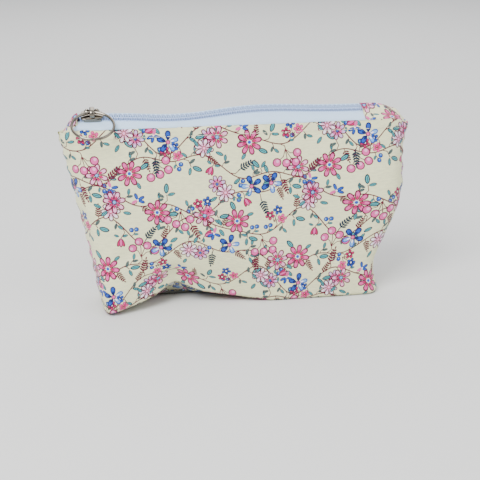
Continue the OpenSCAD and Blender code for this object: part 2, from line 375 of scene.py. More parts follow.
def print_shapes(low, high, shift=(0.0, 0.0)):
    """The shapes of the print that meet the rectangle from low to high, in drawing order."""
    shapes = []
    low, high = np.asarray(low, float), np.asarray(high, float)
    (left, bottom), (right, top) = low - OVERHANG, high + OVERHANG
    for row in range(math.floor((bottom - shift[1]) / TILE_H), math.floor((top - shift[1]) / TILE_H) + 1):
        start = shift[0] + TILE_SHIFT * row
        for column in range(math.floor((left - start) / TILE_W), math.floor((right - start) / TILE_W) + 1):
            corner = np.array([start + TILE_W * column, shift[1] + TILE_H * row])
            for order, (points, colour) in enumerate(TILE):
                moved = points + corner
                if (moved.max(0) > low).all() and (moved.min(0) < high).all():
                    shapes.append((order, moved, colour))
    shapes.sort(key=lambda shape: shape[0])
    return [(points, colour) for _, points, colour in shapes]


def flat_cut(outline, step, shapes):
    """Triangles of a flat piece of cloth: points, triangles, and the colour name of each triangle.

    Every printed shape is cut into the cloth's own mesh, so that its edge is sharp at any distance."""
    outline = np.asarray(outline, float)
    low, high = outline.min(0), outline.max(0)
    columns = np.arange(low[0] + step, high[0] - step / 2, step)
    rows = np.arange(low[1] + step, high[1] - step / 2, step)
    inner = np.array([(x, y) for y in rows for x in columns]).reshape(-1, 2)
    points = [outline, inner]
    faces = [list(range(len(outline)))]
    count = len(outline) + len(inner)
    for shape, _ in shapes:
        faces.append(list(range(count, count + len(shape))))
        points.append(shape)
        count += len(shape)
    flat = np.vstack(points).tolist()
    cut, _, triangles, _, _, sources = delaunay_2d_cdt(flat, [], faces, 1, 1e-4, True)
    kept = [(tri, max(src)) for tri, src in zip(triangles, sources) if 0 in src]
    names = ["cloth"] + [colour for _, colour in shapes]
    # Points of printed shapes beyond the outline belong to no triangle, and are dropped.
    used, triangles = np.unique([tri for tri, _ in kept], return_inverse=True)
    return np.array(cut)[used], triangles.reshape(-1, 3), [names[src] for _, src in kept]


# ---- The standing pouch: a grid of points for each wall ----

WALL_H = MOUTH_Z - 1.0
# Distances up the wall: close together at the rounded foot, even above.
FOOT_ARC = BASE_ROUND * math.pi / 4
WALL_T = np.concatenate([np.linspace(0, FOOT_ARC, 5)[:-1], np.linspace(FOOT_ARC, WALL_H, 64)])
WALL_S = np.linspace(-PANEL_HALF, PANEL_HALF, 129)


def bell(value, middle, width):
    """A smooth bump of height 1 at the middle, falling away over width."""
    return np.exp(-(((value - middle) / width) ** 2))


def ramp(value, start, end):
    """0 before start, 1 after end, smooth between."""
    share = np.clip((value - start) / (end - start), 0, 1)
    return share * share * (3 - 2 * share)


def wall_row(height):
    """Points of the front wall at one height, evenly spaced along the cloth from seam to seam."""
    share = height / WALL_H
    half_w = BASE_HALF + (PANEL_HALF - BASE_HALF) * share
    half_d = BASE_DEPTH + (MOUTH_DEPTH - BASE_DEPTH) * share ** 1.5 + BULGE * math.sin(math.pi * share)
    power = BASE_SQUARENESS + (MOUTH_SQUARENESS - BASE_SQUARENESS) * math.sqrt(share)
    across = np.sin(math.pi / 2 * np.linspace(-1, 1, 601))
    x, y = half_w * across, -half_d * (1 - np.abs(across) ** power)
    run = lengths_along(np.column_stack([x, y]))
    places = (WALL_S / PANEL_HALF + 1) / 2 * run[-1]
    return np.column_stack([np.interp(places, run, x), np.interp(places, run, y)])


def inward(points):
    """The unit vector into the pouch for each point of a grid of rows (upward) and columns (along X)."""
    along = np.gradient(points, axis=1)
    up = np.gradient(points, axis=0)
    normal = np.cross(up, along)
    return normal / np.linalg.norm(normal, axis=2)[:, :, None]


def straight_wall():
    """The front wall before it settles: rows from the floor to the mouth, with a rounded foot."""
    rows = []
    for t in WALL_T:
        row = wall_row(max(t, FOOT_ARC) - FOOT_ARC)
        turn = max(0.0, (FOOT_ARC - t) / BASE_ROUND)
        pull = BASE_ROUND * (1 - math.cos(turn))
        shrink = 1 - pull / np.array([BASE_HALF, BASE_DEPTH])
        height = BASE_ROUND * (1 - math.sin(turn)) if t < FOOT_ARC else BASE_ROUND + t - FOOT_ARC
        rows.append(np.column_stack([row * shrink, np.full(len(row), height)]))
    return np.array(rows)


# How far the standing pouch leaves its even shape at its most, in millimetres.
KICK_FORWARD, KICK_LEFT = 9.5, 1.0
LIFT_UP, LIFT_BACK = 12.5, 7.0
FULL_OUT, DENT_IN, DENT_BACK, FOOT_OUT = 5.2, 1.6, 1.5, 4.0
DROOP_LEFT, DROOP_RIGHT = 3.0, 4.2
# Where along X the base arches highest off the table, and where the arch ends.
ARCH_X, ARCH_END = -36.0, 16.0


def settle(points):
    """How the soft pouch stands: the same smooth shift for every layer, worked out from the place."""
    x, y, z = points[..., 0], points[..., 1], points[..., 2]
    front = ramp(-y, -2, 14)
    low = bell(z, 0, 30)
    # The front left corner of the base kicks forward, and the edge beside it lifts off the table.
    kick = front * low * bell(x, -BASE_HALF, 30)
    arch = 0.7 * np.interp(x, [-BASE_HALF, ARCH_X, ARCH_END], [0, 1, 0]) + 0.3 * bell(x, ARCH_X, 9)
    lift = front * bell(z, 0, 20) * arch
    # The right side is full from the top to half way down, sinks in below that, and has a spread foot.
    right = ramp(x, 40, 84)
    full = right * bell(z, 54, 21)
    dent = right * bell(z, 18, 10)
    foot = right * bell(z, 0, 7)
    # The top corners droop, more so at the right.
    droop = ramp(np.abs(x), 82, 96) * ramp(z, 62, 98) * np.where(x < 0, DROOP_LEFT, DROOP_RIGHT)
    moved = points.copy()
    moved[..., 0] += FULL_OUT * full - DENT_IN * dent + FOOT_OUT * foot - KICK_LEFT * kick
    moved[..., 1] += LIFT_BACK * lift + DENT_BACK * dent * front - KICK_FORWARD * kick
    moved[..., 2] += LIFT_UP * lift - droop
    return moved


# The heights of the wrinkles by kind, and how far apart the puckers at the seams and ripples are.
PUCKER, RIPPLE, WAVE, CREASE, SLACK = 0.49, 0.224, 0.63, 0.98, 0.84
PUCKER_PITCH, RIPPLE_PITCH = 8.5, 11.0


def wrinkles(s, t, phase):
    """How far the cloth stands proud of its smooth shape, in millimetres, at places on the flat cut."""
    side = np.exp(-(PANEL_HALF - np.abs(s)) / 9)
    top = np.exp(-(WALL_H - t) / 8)
    pucker_turn = 2 * math.pi * t / PUCKER_PITCH + 2 * np.sin(t / 17) + s / 40 + phase
    ripple_turn = 2 * math.pi * s / RIPPLE_PITCH + 1.5 * np.sin(s / 19) + phase
    wave = WAVE * np.sin(s / 17 + t / 29 + 1 + phase) * np.sin(t / 21 - s / 60)
    right_crease = CREASE * bell(t + 0.45 * s, 84, 4) * bell(s, 62, 22)
    left_crease = -SLACK * bell(t - 0.5 * s, 62, 4.5) * bell(s, -62, 22)
    slack = SLACK * bell(t + 0.2 * s, 26, 6) * bell(s, 48, 26) * ramp(t, 4, 16)
    seams = PUCKER * side * np.sin(pucker_turn) + RIPPLE * top * np.sin(ripple_turn)
    return seams + wave + right_crease + left_crease + slack


SEAM_GROOVE, HEM_RIDGE, STITCH_GROOVE = 1.1, 0.3, 0.28


def hems(s, t):
    """The seam grooves at the sides, and the ridge of the seam allowance below the folded top edge."""
    drop = WALL_H - t
    ridge = HEM_RIDGE * (1 - ramp(drop, STITCH_DROP + 0.6, STITCH_DROP + 2.0))
    seam = SEAM_GROOVE * bell(PANEL_HALF - np.abs(s), 0, 1.6)
    return ridge - seam - STITCH_GROOVE * bell(drop, STITCH_DROP, 0.7)


def soft_wall(mirror):
    """One settled wall. The back wall is the front's mirror image before it settles."""
    wall = straight_wall()
    s, t = np.meshgrid(WALL_S, WALL_T)
    wall -= inward(wall) * (wrinkles(s, t, 2.0 * mirror) * ramp(t, 0, 12))[:, :, None]
    if mirror:
        wall[..., 1] *= -1
    return settle(wall)


class Carrier(NamedTuple):
    """A grid of points in space that carries a flat cut: each column is at s, and each row at t."""

    grid: np.ndarray
    s: np.ndarray
    t: np.ndarray


def folded(wall, flip):
    """The carrier of a wall with its hems, and with its top edge folded over to the inside."""
    s, t = np.meshgrid(WALL_S, WALL_T)
    into = inward(wall) * flip
    wall = wall - into * hems(s, t)[:, :, None]
    top, into = wall[-1], into[-1]
    rows, places = list(wall), list(WALL_T)
    for turn in np.linspace(0, math.pi, 7)[1:]:
        rows.append(top + FOLD_RADIUS * ((1 - math.cos(turn)) * into + math.sin(turn) * UP))
        places.append(WALL_H + FOLD_RADIUS * turn)
    for drop in np.linspace(0, FOLD_HIDDEN, 4)[1:]:
        rows.append(top + 2 * FOLD_RADIUS * into - drop * UP)
        places.append(WALL_H + FOLD_RADIUS * math.pi + drop)
    return Carrier(np.array(rows), WALL_S, np.array(places))


# The Catmull-Rom curve: a row for each power of the share, a column for each of four grid lines.
CATMULL_ROM = np.array([[0, 2, 0, 0], [-1, 0, 1, 0], [2, -5, 4, -1], [-1, 3, -3, 1]]) / 2


def carried(carrier, s, t):
    """Points and unit normals at places on the flat cut, by Catmull-Rom curves both ways."""
    grid = carrier.grid
    columns = np.interp(s, carrier.s, np.arange(len(carrier.s)))
    rows = np.interp(t, carrier.t, np.arange(len(carrier.t)))

    def taps(value, count):
        """The four grid lines about each value, and their weights for the place and for its slope."""
        base = np.clip(np.floor(value).astype(int), 0, count - 2)
        share = value - base
        weights = CATMULL_ROM.T @ [share ** 0, share, share ** 2, share ** 3]
        slopes = CATMULL_ROM.T @ [0 * share, share ** 0, 2 * share, 3 * share ** 2]
        return [np.clip(base + k, 0, count - 1) for k in (-1, 0, 1, 2)], weights, slopes

    j, wj, dj = taps(rows, grid.shape[0])
    i, wi, di = taps(columns, grid.shape[1])
    point, along, up = (np.zeros((len(columns), 3)) for _ in range(3))
    for a in range(4):
        for b in range(4):
            tap = grid[j[a], i[b]]
            point += tap * (wj[a] * wi[b])[:, None]
            along += tap * (wj[a] * di[b])[:, None]
            up += tap * (dj[a] * wi[b])[:, None]
    normal = np.cross(along, up)
    return point, normal / np.maximum(np.linalg.norm(normal, axis=1), 1e-12)[:, None]


# ---- Meshes ----

def new_piece(node, slot, points, faces, body="pouch", normals=None, flat_places=None, inks=None):
    """The piece that stands for a CAD node, from points in millimetres, with the material of its slot.

    flat_places are its points on the flat cut, and inks names the colour of each of its faces."""
    mesh = bpy.data.meshes.new(node)
    mesh.from_pydata((np.asarray(points) * MM).tolist(), [], [list(map(int, f)) for f in faces])
    mesh.shade_smooth()
    if flat_places is not None:
        corners = np.zeros(len(mesh.loops), int)
        mesh.loops.foreach_get("vertex_index", corners)
        layer = mesh.uv_layers.new(name="Cut")
        layer.data.foreach_set("uv", np.asarray(flat_places, float)[corners].ravel())
    if inks is not None:
        layer = mesh.color_attributes.new("Ink", "FLOAT_COLOR", "CORNER")
        sizes = [len(f) for f in faces]
        layer.data.foreach_set("color", np.repeat([INK[ink] for ink in inks], sizes, axis=0).ravel())
    if normals is not None:
        mesh.normals_split_custom_set_from_vertices(normals.tolist())
    piece = bpy.data.objects.new(f"{node}_look", mesh)
    bpy.context.scene.collection.objects.link(piece)
    mesh.materials.append(MATERIALS[slot])
    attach(piece, body)
    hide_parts(node)
    return piece


# Any direction that no wire or thread starts along.
NOT_ALONG_A_WIRE = (0.3, 0.2, 0.93)


def grid_faces(rows, columns):
    """Quads between rows of points that each go round a solid, numbered row by row."""
    return [(j * columns + i, j * columns + (i + 1) % columns,
             (j + 1) * columns + (i + 1) % columns, (j + 1) * columns + i)
            for j in range(rows - 1) for i in range(columns)]


def swept(rows):
    """Points and faces of a solid whose skin runs through rows of points that go round it."""
    count = len(rows[0])
    last = (len(rows) - 1) * count
    faces = grid_faces(len(rows), count)
    return np.vstack(rows), faces + [tuple(range(count - 1, -1, -1)), tuple(range(last, last + count))]


def tube(path, radius, sides=6):
    """Points and faces of a round wire along a path, in millimetres."""
    turn = np.linspace(0, 2 * math.pi, sides, endpoint=False)[:, None]
    way = directions(path)
    side = np.cross(way[0], NOT_ALONG_A_WIRE)
    rings = []
    for point, direction in zip(path, way):
        side = side - direction * (side @ direction)
        side /= np.linalg.norm(side)
        rings.append(point + radius * (np.cos(turn) * side + np.sin(turn) * np.cross(direction, side)))
    return swept(rings)


def joined(parts):
    """Several (points, faces) as one."""
    points, faces, start = [], [], 0
    for part_points, part_faces in parts:
        points.append(part_points)
        faces += [tuple(v + start for v in face) for face in part_faces]
        start += len(part_points)
    return np.vstack(points), faces


# ---- Cloth panels ----

def box_corners(x_low, x_high, s_low, s_high):
    """The corners of a rectangle, counter-clockwise."""
    return [(x_low, s_low), (x_high, s_low), (x_high, s_high), (x_low, s_high)]


def wall_outline(top, step=3.0):
    """The flat outline of a wall, from its foot to the height top, counter-clockwise."""
    half = PANEL_HALF
    across = np.linspace(-half, half, int(2 * half / step) + 1)
    up = np.linspace(0, top, int(top / step) + 1)
    return ([(s, 0.0) for s in across] + [(half, t) for t in up[1:]]
            + [(s, top) for s in across[::-1][1:]] + [(-half, t) for t in up[::-1][1:-1]])


def base_outline(rim, side):
    """The flat outline of half the base, unfolded below its wall: the middle seam, then the foot."""
    foot = np.column_stack([rim[:, 0], side * rim[:, 1] - BASE_DEPTH])
    seam_x = np.linspace(foot[0, 0], foot[-1, 0], 40)
    seam = np.column_stack([seam_x, np.full(len(seam_x), -BASE_DEPTH)])
    return np.vstack([seam, foot[-2:0:-1]])


def base_height(places, rim):
    """The base is level, rounds up to the foot of the wall, and lifts wherever the foot is lifted."""
    gap = places[:, None, :] - rim[None, :, :2]
    distance = np.hypot(gap[..., 0], gap[..., 1])
    nearest = distance.argmin(axis=1)
    reach = distance[np.arange(len(places)), nearest]
    turn = np.clip(math.pi / 4 + reach / BASE_ROUND, 0, math.pi / 2)
    lift = rim[nearest, 2] - BASE_ROUND * (1 - math.sin(math.pi / 4))
    return BASE_ROUND * (1 - np.sin(turn)) + lift * (1 - ramp(reach, 0, 0.9 * BASE_DEPTH))


def cloth_panel(node, slot, wall, side, top, inset, print_start, step):
    """One cut of cloth on the standing pouch: a wall up to the flat height top, and half the base.

    side is -1 for the front and 1 for the back, and inset moves the cloth into the pouch.
    print_start places the print on the cut, and is None for plain cloth."""
    rim = wall.grid[0]
    cuts = []
    for outline in (np.array(wall_outline(top)), base_outline(rim, side)):
        low, high = outline.min(0), outline.max(0)
        shapes = [] if print_start is None else print_shapes(low, high, print_start)
        cuts.append(flat_cut(outline, step, shapes))
    (cut, triangles, colours), (base, base_triangles, base_colours) = cuts
    points, normals = carried(wall, cut[:, 0], cut[:, 1])
    normals = -side * normals
    standing = np.column_stack([base[:, 0], side * (base[:, 1] + BASE_DEPTH)])
    base_points = np.column_stack([standing, base_height(standing, rim)])
    points = np.vstack([points - normals * inset, base_points + (0, 0, inset)])
    normals = np.vstack([normals, np.tile((0.0, 0.0, -1.0), (len(base), 1))])
    triangles = np.vstack([triangles, base_triangles + len(cut)])
    if side > 0:
        triangles = triangles[:, ::-1]
    return new_piece(node, slot, points, triangles, normals=normals,
                     flat_places=np.vstack([cut, base]), inks=colours + base_colours)


def stitches(path, outward, radius, pitch, proud):
    """A row of stitches along a path on cloth, which faces outward. Each dips into it at its ends."""
    outward = np.broadcast_to(outward, path.shape)
    run = lengths_along(path)
    length = pitch * STITCH_LENGTH / STITCH_PITCH
    parts = []
    for start in np.arange(0, run[-1] - length, pitch):
        along = start + np.linspace(0, length, 6)
        points = np.column_stack([np.interp(along, run, path[:, k]) for k in range(3)])
        normals = np.column_stack([np.interp(along, run, outward[:, k]) for k in range(3)])
        rise = proud - 1.4 * radius * np.linspace(-1, 1, 6) ** 4
        parts.append(tube(points + normals * rise[:, None], radius))
    return joined(parts)


# ---- The zip ----

COIL_PITCH = 1.25
COIL_HALF = 2.75
COIL_WIRE = 0.3
# A coil's loops swing this far about their middle, so that their heads pass between the other's.
COIL_MIDDLE = COIL_HALF / 2 - 0.15
COIL_REACH = COIL_HALF / 2 + 0.25
COIL_RISE = 0.85
# A tape starts under its coil, this far from the middle of the chain, and ends under the tabs.
TAPE_EDGE = 2.1
TAPE_UNDER_TAB = 4.5
# Half its thickness, and the height of the raised selvedge beside its coil.
TAPE_HALF = 0.26
SELVEDGE = 0.16
# How steeply the front tape goes down inside the wall, beyond where it bends.
TAPE_DOWN = math.radians(70)
# The two rows of sewing over a coil, as shares of its width.
SEWING_ROWS = (0.62, 0.86)
LEFT_END_DROP = 8.0
TUCK_DROP = 4.5
RIGHT_END_DROP = 3.4


def chain_sag(x):
    """How far the middle of the closed chain sags between its ends, in millimetres."""
    return 2.0 * bell(x, -32, 24) - 1.6 * bell(x, 14, 27)


def end_drop(x):
    """How far each end of the zip turns down, to be tucked in between the walls at the side seam."""
    left = LEFT_END_DROP * ramp(-x, -LEFT_TAB[1], -LEFT_TAB[0] - 0.5)
    slope = RIGHT_END_DROP * ramp(x, RIGHT_TAB[1] - 16, RIGHT_TAB[1] + 2)
    return left + slope + TUCK_DROP * ramp(x, RIGHT_TAB[1] - 2.5, RIGHT_TAB[1] + 3)


def mouth_room(x):
    """How far from the middle the zip may reach at x before it meets the inside of the mouth."""
    return MOUTH_DEPTH * (1 - abs(x / PANEL_HALF) ** MOUTH_SQUARENESS) - 1.6


def level_zip(x, s, w):
    """Places on a straight, level zip: s forward from the middle of the chain, w above the tape."""
    y = CHAIN_Y - s * math.cos(ZIP_TILT) - w * math.sin(ZIP_TILT)
    z = CHAIN_Z - s * math.sin(ZIP_TILT) + w * math.cos(ZIP_TILT)
    return np.stack([x, y, z], axis=-1)


def zip_point(x, s, w, sag=1.0):
    """A place on the zip as it is sewn in, with its sag and its ends turned down."""
    return level_zip(x, s, w) - (0, 0, sag * chain_sag(x) + end_drop(x))


def chain_gap(x):
    """How far each coil stands off the middle: the chain is open beyond the closed slider."""
    return 0.4 * (1 - ramp(x, SLIDER_LOW[0], SLIDER_X))


def rounded_wave(turn, power):
    """A cosine with flatter tops."""
    wave = math.cos(turn)
    return math.copysign(abs(wave) ** power, wave)


def coil(side):
    """One nylon coil: a wire wound into flat loops, whose rounded heads pass between the other's."""
    first = SLIDER_LOW[0] - 1.0
    turns = int((RIGHT_TAB[0] + 3 - first) / COIL_PITCH)
    steps = 16
    path = []
    for k in range(turns * steps):
        turn = 2 * math.pi * k / steps
        x = first + COIL_PITCH * (k / steps + 0.5 * (side > 0))
        s = COIL_MIDDLE + COIL_REACH * rounded_wave(turn, 0.75)
        w = COIL_RISE * rounded_wave(turn - math.pi / 2, 0.8)
        path.append(zip_point(x, side * (s + chain_gap(x)), w))
    return tube(path, COIL_WIRE, 5)


def coil_stitches(side):
    """The two rows of sewing that hold a coil to its tape, over the tops of its loops."""
    parts = []
    for row in SEWING_ROWS:
        x = np.arange(SLIDER_LOW[0] - 0.6, RIGHT_TAB[0] + 1, 0.5)
        top = COIL_RISE + COIL_WIRE
        path = np.array([zip_point(a, side * (row * COIL_HALF + chain_gap(a)), top) for a in x])
        parts.append(stitches(path, ZIP_UP, COIL_THREAD, pitch=2 * COIL_PITCH, proud=0.08))
    return joined(parts)


def tape_middle(x, side):
    """The middle line of a tape at x, from the coil over its bend to the hidden edge in the pouch."""
    edge = TAPE_EDGE + chain_gap(x)
    hidden = TAPE_HIDDEN * (1 - 0.6 * ramp(abs(x), 64, 74))
    if side > 0:
        reach = min(TAPE_SHOW - 0.4, (CHAIN_Y + mouth_room(x)) / math.cos(ZIP_TILT))
        bend = zip_point(x, reach, 0, sag=0.0)
        down = np.array([0, -math.cos(TAPE_DOWN), -math.sin(TAPE_DOWN)])
        corners = [zip_point(x, edge, 0), bend, bend + hidden * down]
        steps = (10, 5)
    else:
        bend = np.array([x, mouth_room(x), CHAIN_Z - BACK_BEND - end_drop(x)])
        turned = zip_point(x, -BACK_BEND, 0)
        corners = [zip_point(x, -edge, 0), turned, bend, bend + (0, 0, -hidden)]
        steps = (3, 6, 4)
    middle = [corners[0]]
    for start, end, count in zip(corners, corners[1:], steps):
        middle += [start + (end - start) * share for share in np.linspace(0, 1, count + 1)[1:]]
    return np.array(middle)


def zip_tape(side):
    """A woven tape: a thin slab with a raised selvedge beside the coil."""
    rows, places = [], []
    for x in np.linspace(LEFT_TAB[1] - TAPE_UNDER_TAB, RIGHT_TAB[0] + TAPE_UNDER_TAB, 121):
        middle = tape_middle(x, side)
        run = lengths_along(middle)
        normal = np.cross(np.gradient(middle, axis=0), (-side, 0, 0))
        normal /= np.linalg.norm(normal, axis=1)[:, None]
        upper = middle + normal * (TAPE_HALF + SELVEDGE * bell(run, 1.6, 0.6))[:, None]
        rows.append(np.vstack([upper, (middle - normal * TAPE_HALF)[::-1]]))
        places.append(np.column_stack([np.full(2 * len(run), x), np.concatenate([run, run[::-1]])]))
    points, faces = swept(rows)
    return points, faces, np.vstack(places)


class Tab(NamedTuple):
    """An end tab: its edge and outer fold along X, its reach across the zip, and how much it narrows."""

    edge: float
    fold: float
    front: float
    back: float
    narrowing: float


TABS = {
    "right": Tab(edge=RIGHT_TAB[0], fold=RIGHT_TAB[1] + 2.3, front=11.6, back=11.0, narrowing=0.5),
    "left": Tab(edge=LEFT_TAB[1], fold=LEFT_TAB[0] + 0.4, front=6.5, back=6.2, narrowing=0.6),
}
TAB_RISE = 0.75


def tab_row(x, tab, side):
    """One layer of an end tab at x, across the zip: side is 1 above the tape and -1 below it."""
    away = abs(x - tab.edge) / abs(tab.fold - tab.edge)
    narrow = 1 - tab.narrowing * away ** 2
    across = np.linspace(-tab.back, tab.front, 33) * narrow
    over_coil = (COIL_RISE + 0.4) * (1 - ramp(away, 0.35, 1.0)) * (1 - ramp(np.abs(across), 2.0, 4.6))
    rise = side * (TAB_RISE + over_coil) * math.sqrt(1 - 0.7 * away ** 3)
    rise -= 0.5 * side * ramp(across, (tab.front - 1.2) * narrow, tab.front * narrow)
    # Behind the chain the tab turns down with the back tape, towards the inside of the mouth.
    corner = BACK_BEND * narrow
    top = np.array([zip_point(x, max(s, -corner), w, sag=0.3) for s, w in zip(across, rise)])
    hang = np.maximum(-across - corner, 0)[:, None]
    down = np.array([0, max(mouth_room(x) - 0.5, 0.5) - top[0, 1], -BACK_BEND])
    out = 0.6 * side * ramp(hang, 0, 1.5) * np.array([0, 1, 0])
    return top + hang * down / np.linalg.norm(down) + out, across


def tab_carrier(tab, away):
    """A tab folded over the end of the zip: its upper and lower layers meet at the outer fold."""
    columns = np.linspace(tab.edge, tab.fold, 28)
    upper, across = zip(*[tab_row(x, tab, 1) for x in columns])
    lower, _ = zip(*[tab_row(x, tab, -1) for x in columns])
    middle = (upper[-1] + lower[-1]) / 2
    half = (upper[-1] - lower[-1]) / 2
    rows = []
    # The inner edge rounds down towards the tape.
    for turn in (3.1, 2.3, 1.57, 0.8):
        rows.append(upper[0] - (away * 0.3 * math.sin(turn), 0, 0.35 * (1 - math.cos(turn))))
    rows += list(upper)
    # The outer fold goes round from the upper layer to the lower one.
    for turn in (0.5, 1.1, 1.57, 2.1, 2.7):
        rows.append(middle + half * math.cos(turn) + (away * 0.6 * math.sin(turn), 0, 0))
    rows += list(lower[::-1])
    grid = np.array(rows)
    return Carrier(grid, across[0], lengths_along(grid[:, 8]))


def end_tab(node, carrier, away, print_start):
    """The cloth of a tab on its carrier. away is 1 for the right tab, whose rows run along +X."""
    (s_low, s_high), t_high = carrier.s[[0, -1]], carrier.t[-1]
    outline = np.array(box_corners(s_low, s_high, 0, t_high))
    shapes = print_shapes((s_low, 0), (s_high, t_high), print_start)
    cut, triangles, colours = flat_cut(outline, 0.8, shapes)
    points, normals = carried(carrier, cut[:, 0], cut[:, 1])
    return new_piece(node, "printed_cotton", points, triangles[:, ::away], normals=away * normals,
                     flat_places=cut, inks=colours)


# ---- The slider and its ring ----

def rounded(corners, turns=3):
    """A closed outline with its corners cut again and again until they are round."""
    outline = np.asarray(corners, float)
    for _ in range(turns):
        following = np.roll(outline, -1, axis=0)
        near, far = 0.75 * outline + 0.25 * following, 0.25 * outline + 0.75 * following
        outline = np.stack([near, far], 1).reshape(-1, 2)
    return outline


def pulled_in(outline, inset):
    """A counter-clockwise outline moved inward."""
    way = np.roll(outline, -1, axis=0) - np.roll(outline, 1, axis=0)
    way /= np.linalg.norm(way, axis=1)[:, None]
    return outline + inset * np.column_stack([-way[:, 1], way[:, 0]])


def cast_block(outline, low, high, bevel=0.25, crown=0.0):
    """A cast metal block with rounded edges: outline is (x, s), and low and high are its w.

    crown raises the middle of the top face."""
    rings = []
    arc = np.linspace(0, math.pi / 2, 4)
    for level, up, turns in ((low, 1, arc), (high, -1, arc[::-1])):
        for a in turns:
            inset = bevel * (1 - math.sin(a))
            rings.append((pulled_in(outline, inset), level + up * bevel * (1 - math.cos(a))))
    middle = outline.mean(axis=0)
    for share in (0.8, 0.6, 0.4, 0.2):
        shrunk = middle + (pulled_in(outline, bevel) - middle) * share
        rings.append((shrunk, high + crown * (1 - share ** 2)))
    rows = [np.column_stack([ring, np.full(len(ring), w)]) for ring, w in rings]
    return swept(rows)


SLIDER_HALF_L = SLIDER_LENGTH / 2
SLIDER_HALF_W = 4.1
PLATE_IN = 1.5
PLATE_TOP = 2.4
RAIL_IN = 3.25
WINDOW_H = 2.6
BRIDGE_T = 1.1
BRIDGE_HALF_L = 1.3
BRIDGE_HALF_W = 3.5
# The two lobes behind the ring's wire: the middle of each, its half sizes and its height.
LOBE_X, LOBE_S = 2.5, -2.75
LOBE_HALF_L, LOBE_HALF_W, LOBE_RISE = 1.5, 1.15, 0.9
# The rails are shorter than the plates and stop above and below the tapes.
RAIL_SHORT = 1.2
RAIL_LOW = 0.5
# How far a part of the casting is sunk into the plate that it stands on.
SUNK = 0.2


def plate_outline():
    """A slider plate from above: two rounded noses with a notch between them, and a narrower tail."""
    nose, wide, narrow = SLIDER_HALF_L, SLIDER_HALF_W, 0.8 * SLIDER_HALF_W
    half = [(-nose + 2.2, 0.4), (-nose + 0.3, 1.0), (-nose - 0.2, 2.4), (-nose + 0.8, wide),
            (0, wide), (nose - 1.6, narrow), (nose, 0.75 * narrow)]
    outline = half[::-1] + [(x, -s) for x, s in half]
    return rounded(outline)


def slider_body():
    """The two plates, the rails that close the coils' channels, and the post between the channels."""
    outline = plate_outline()
    parts = [
        cast_block(outline, PLATE_IN, PLATE_TOP, crown=0.15),
        cast_block(outline, -PLATE_TOP, -PLATE_IN),
    ]
    # Two rounded lobes stand behind the ring's wire, one at each side of the bridge.
    turn = np.linspace(0, 2 * math.pi, 32, endpoint=False)
    for end in (-1, 1):
        along, across = LOBE_HALF_L * np.cos(turn), LOBE_HALF_W * np.sin(turn)
        lobe = np.column_stack([end * LOBE_X + along, LOBE_S + across])
        parts.append(cast_block(lobe, PLATE_TOP - 0.3, PLATE_TOP + LOBE_RISE, crown=1.0))
    rail_half = SLIDER_HALF_L - RAIL_SHORT
    for side in (-1, 1):
        s_low, s_high = sorted((side * RAIL_IN, side * (SLIDER_HALF_W - 0.15)))
        rail = rounded(box_corners(-rail_half, rail_half, s_low, s_high), 2)
        parts.append(cast_block(rail, RAIL_LOW, PLATE_IN + SUNK, bevel=0.15))
        parts.append(cast_block(rail, -PLATE_IN - SUNK, -RAIL_LOW, bevel=0.15))
    nose = -SLIDER_HALF_L
    post = rounded([(nose + 1.4, 0), (nose + 2.4, -0.5), (nose + 3.8, 0), (nose + 2.4, 0.5)], 2)
    parts.append(cast_block(post, -PLATE_IN - SUNK, PLATE_IN + SUNK, bevel=0.1))
    return on_slider(parts)


def slider_bridge():
    """The arch over the top plate, across the zip, that the ring passes through."""
    radius = WINDOW_H / 2 + BRIDGE_T / 2
    shoulder = BRIDGE_HALF_W - BRIDGE_T / 2 - radius
    foot = PLATE_TOP - SUNK
    middle = [(-shoulder - radius, foot), (-shoulder - radius, PLATE_TOP + 0.7)]
    for a in np.linspace(0, math.pi / 2, 10):
        middle.append((-shoulder - radius * math.cos(a), PLATE_TOP + WINDOW_H / 2 + radius * math.sin(a)))
    middle += [(-s, w) for s, w in middle[::-1]]
    middle = np.array(middle)
    section = rounded(box_corners(-BRIDGE_HALF_L, BRIDGE_HALF_L, -0.5, 0.5), 2)
    rows = []
    for point, direction in zip(middle, directions(middle)):
        outward = np.array([-direction[1], direction[0]])
        offset = section[:, 1:] * BRIDGE_T * outward
        rows.append(np.column_stack([section[:, 0], point + offset]))
    return on_slider([swept(rows)])


def on_slider(parts):
    """Parts given as (x, s, w) about the middle of the slider, joined, in the pouch's own frame."""
    points, faces = joined(parts)
    x, s, w = points.T
    return level_zip(SLIDER_X + x, s, w), faces


RING_WIRE = 0.75
RING_RADIUS = 10.75
RING_HANG = math.radians(25)
RING_JOINT = math.radians(1.5)
RING_SIDES = 20
# Each cut end reaches this share of a step beyond the path, and is this share as thick.
END_STEP, END_SIZE = 0.15, 0.8


def pull_ring():
    """A round wire bent into a ring, with its two cut ends meeting at the front."""
    turn = np.linspace(RING_JOINT / 2, 2 * math.pi - RING_JOINT / 2, 161) - math.pi / 2
    forward = np.array([0, -math.cos(RING_HANG), -math.sin(RING_HANG)])
    across = np.array([1.0, 0, 0])
    centre = RING_PIVOT + RING_RADIUS * forward
    path = centre + RING_RADIUS * (np.cos(turn)[:, None] * across - np.sin(turn)[:, None] * forward)
    # The wire's ends are cut square and slightly rounded.
    first = path[0] + (path[0] - path[1]) * END_STEP
    last = path[-1] + (path[-1] - path[-2]) * END_STEP
    points, faces = tube(np.vstack([first, path, last]), RING_WIRE, RING_SIDES)
    for end, start in ((0, first), (-RING_SIDES, last)):
        ring = np.arange(end, end + RING_SIDES)
        points[ring] = start + (points[ring] - start) * END_SIZE
    return points, faces


# ---- Materials ----

